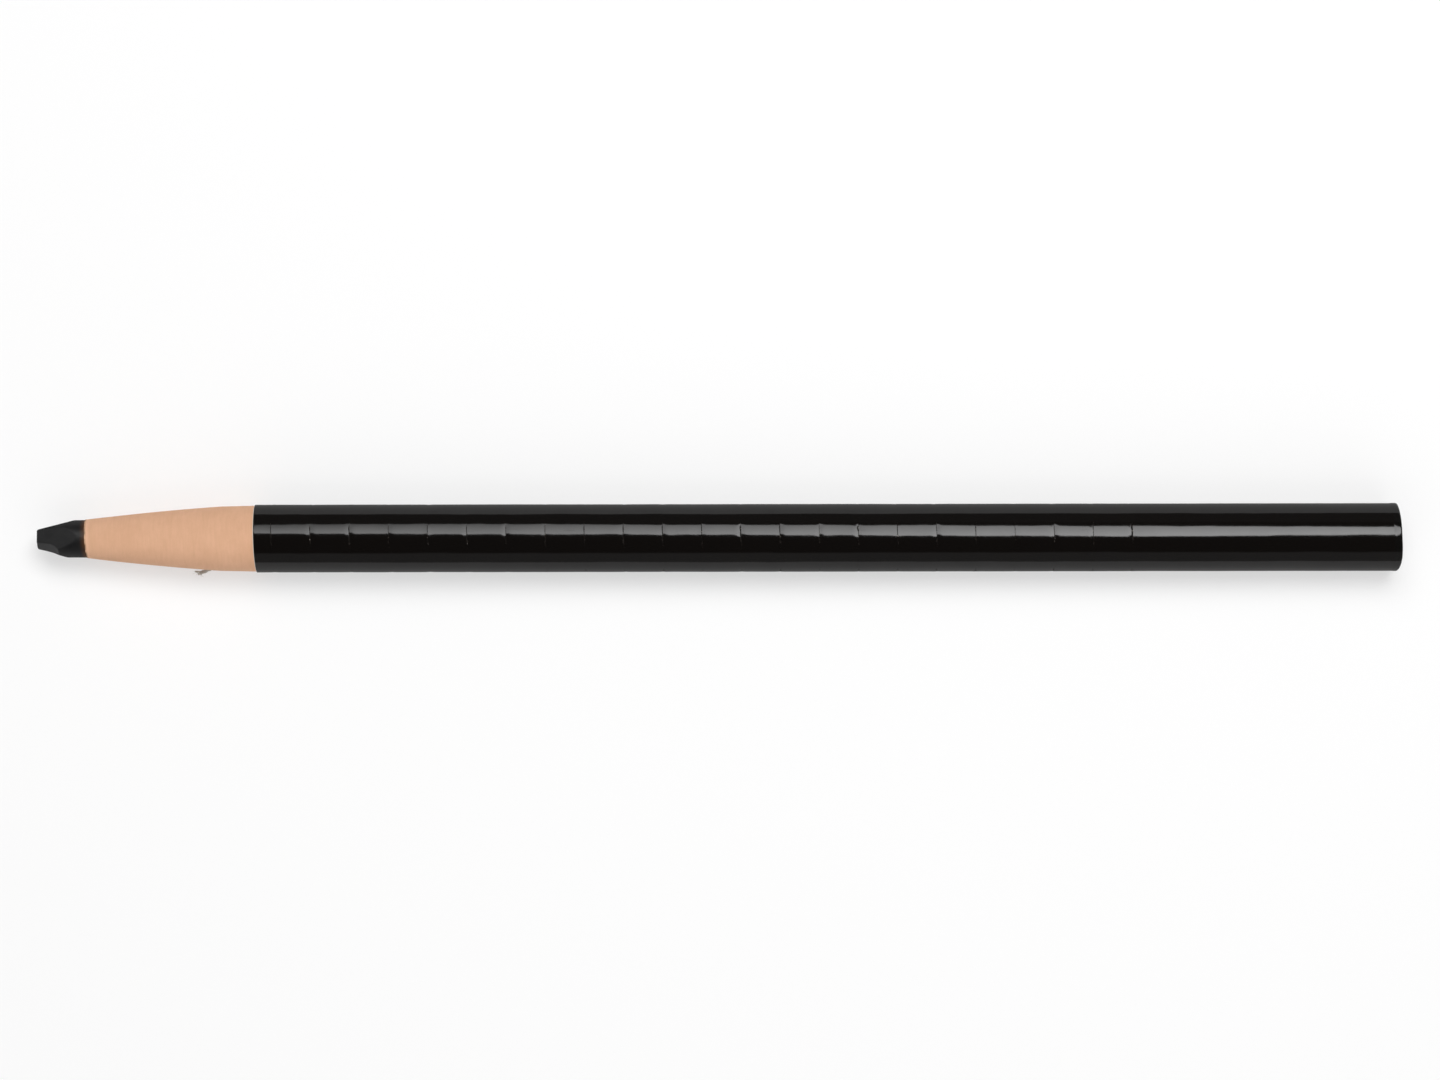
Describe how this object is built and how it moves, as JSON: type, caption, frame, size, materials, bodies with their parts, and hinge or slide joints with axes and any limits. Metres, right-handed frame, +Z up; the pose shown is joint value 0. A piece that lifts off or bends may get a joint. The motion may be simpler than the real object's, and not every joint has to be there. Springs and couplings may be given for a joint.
{
  "type": "china marker",
  "caption": "Paper-wrapped black china marker: whittled wax core, tan wound paper taper, glossy black label slit into tear-off collars, and a pull string.",
  "frame": {"origin": "on the surface that the marker lies on, under the middle of its length", "axes": "+X from the writing tip to the sealed rear end, +Z up, string side towards -Y"},
  "size_m": [0.1778, 0.009, 0.0089],
  "materials": {
    "black_wax": "soft waxy sheen with knife-cut facets",
    "kraft_paper": "matt tan wound paper, sanded to a taper",
    "gloss_label": "glossy varnished black paper with rows of knife slits",
    "cotton_string": "grey-beige twisted cotton thread",
    "black_lacquer": "glossy dipped black lacquer"
  },
  "bodies": {
    "barrel": {"wax_core": "black_wax", "kraft_wrap": "kraft_paper", "rear_label": "gloss_label", "end_lacquer": "black_lacquer"},
    "collar_22": {"collar_22": "gloss_label"},
    "collar_21": {"collar_21": "gloss_label"},
    "collar_20": {"collar_20": "gloss_label"},
    "collar_19": {"collar_19": "gloss_label"},
    "collar_18": {"collar_18": "gloss_label"},
    "collar_17": {"collar_17": "gloss_label"},
    "collar_16": {"collar_16": "gloss_label"},
    "collar_15": {"collar_15": "gloss_label"},
    "collar_14": {"collar_14": "gloss_label"},
    "collar_13": {"collar_13": "gloss_label"},
    "collar_12": {"collar_12": "gloss_label"},
    "collar_11": {"collar_11": "gloss_label"},
    "collar_10": {"collar_10": "gloss_label"},
    "collar_09": {"collar_09": "gloss_label"},
    "collar_08": {"collar_08": "gloss_label"},
    "collar_07": {"collar_07": "gloss_label"},
    "collar_06": {"collar_06": "gloss_label"},
    "collar_05": {"collar_05": "gloss_label"},
    "collar_04": {"collar_04": "gloss_label"},
    "collar_03": {"collar_03": "gloss_label"},
    "collar_02": {"collar_02": "gloss_label"},
    "collar_01": {"collar_01": "gloss_label"},
    "front_band": {"front_band": "gloss_label"},
    "pull_string": {"pull_string": "cotton_string"},
    "string_tail": {"string_tail": "cotton_string"}
  },
  "joints": [
    {"name": "collar_22_peel", "type": "slide", "parent": "barrel", "child": "collar_22", "axis": [-1, 0, 0], "range_m": [0, 0.14566]},
    {"name": "collar_21_peel", "type": "slide", "parent": "collar_22", "child": "collar_21", "axis": [-1, 0, 0], "range_m": [0, 0.14058]},
    {"name": "collar_20_peel", "type": "slide", "parent": "collar_21", "child": "collar_20", "axis": [-1, 0, 0], "range_m": [0, 0.1355]},
    {"name": "collar_19_peel", "type": "slide", "parent": "collar_20", "child": "collar_19", "axis": [-1, 0, 0], "range_m": [0, 0.13042]},
    {"name": "collar_18_peel", "type": "slide", "parent": "collar_19", "child": "collar_18", "axis": [-1, 0, 0], "range_m": [0, 0.12534]},
    {"name": "collar_17_peel", "type": "slide", "parent": "collar_18", "child": "collar_17", "axis": [-1, 0, 0], "range_m": [0, 0.12026]},
    {"name": "collar_16_peel", "type": "slide", "parent": "collar_17", "child": "collar_16", "axis": [-1, 0, 0], "range_m": [0, 0.11518]},
    {"name": "collar_15_peel", "type": "slide", "parent": "collar_16", "child": "collar_15", "axis": [-1, 0, 0], "range_m": [0, 0.1101]},
    {"name": "collar_14_peel", "type": "slide", "parent": "collar_15", "child": "collar_14", "axis": [-1, 0, 0], "range_m": [0, 0.10502]},
    {"name": "collar_13_peel", "type": "slide", "parent": "collar_14", "child": "collar_13", "axis": [-1, 0, 0], "range_m": [0, 0.09994]},
    {"name": "collar_12_peel", "type": "slide", "parent": "collar_13", "child": "collar_12", "axis": [-1, 0, 0], "range_m": [0, 0.09486]},
    {"name": "collar_11_peel", "type": "slide", "parent": "collar_12", "child": "collar_11", "axis": [-1, 0, 0], "range_m": [0, 0.08978]},
    {"name": "collar_10_peel", "type": "slide", "parent": "collar_11", "child": "collar_10", "axis": [-1, 0, 0], "range_m": [0, 0.0847]},
    {"name": "collar_09_peel", "type": "slide", "parent": "collar_10", "child": "collar_09", "axis": [-1, 0, 0], "range_m": [0, 0.07962]},
    {"name": "collar_08_peel", "type": "slide", "parent": "collar_09", "child": "collar_08", "axis": [-1, 0, 0], "range_m": [0, 0.07454]},
    {"name": "collar_07_peel", "type": "slide", "parent": "collar_08", "child": "collar_07", "axis": [-1, 0, 0], "range_m": [0, 0.06946]},
    {"name": "collar_06_peel", "type": "slide", "parent": "collar_07", "child": "collar_06", "axis": [-1, 0, 0], "range_m": [0, 0.06438]},
    {"name": "collar_05_peel", "type": "slide", "parent": "collar_06", "child": "collar_05", "axis": [-1, 0, 0], "range_m": [0, 0.0593]},
    {"name": "collar_04_peel", "type": "slide", "parent": "collar_05", "child": "collar_04", "axis": [-1, 0, 0], "range_m": [0, 0.05422]},
    {"name": "collar_03_peel", "type": "slide", "parent": "collar_04", "child": "collar_03", "axis": [-1, 0, 0], "range_m": [0, 0.04914]},
    {"name": "collar_02_peel", "type": "slide", "parent": "collar_03", "child": "collar_02", "axis": [-1, 0, 0], "range_m": [0, 0.04406]},
    {"name": "collar_01_peel", "type": "slide", "parent": "collar_02", "child": "collar_01", "axis": [-1, 0, 0], "range_m": [0, 0.03898]},
    {"name": "front_band_peel", "type": "slide", "parent": "collar_01", "child": "front_band", "axis": [-1, 0, 0], "range_m": [0, 0.0339]},
    {"name": "string_draw", "type": "slide", "parent": "front_band", "child": "pull_string", "axis": [-1, 0, 0], "range_m": [0, 0.11176]},
    {"name": "tail_lift", "type": "hinge", "parent": "pull_string", "child": "string_tail", "pos_m": [-0.0612, -0.0039, 0.00341], "axis": [0, -0.2588, 0.9659], "range_deg": [0, 115]}
  ]
}
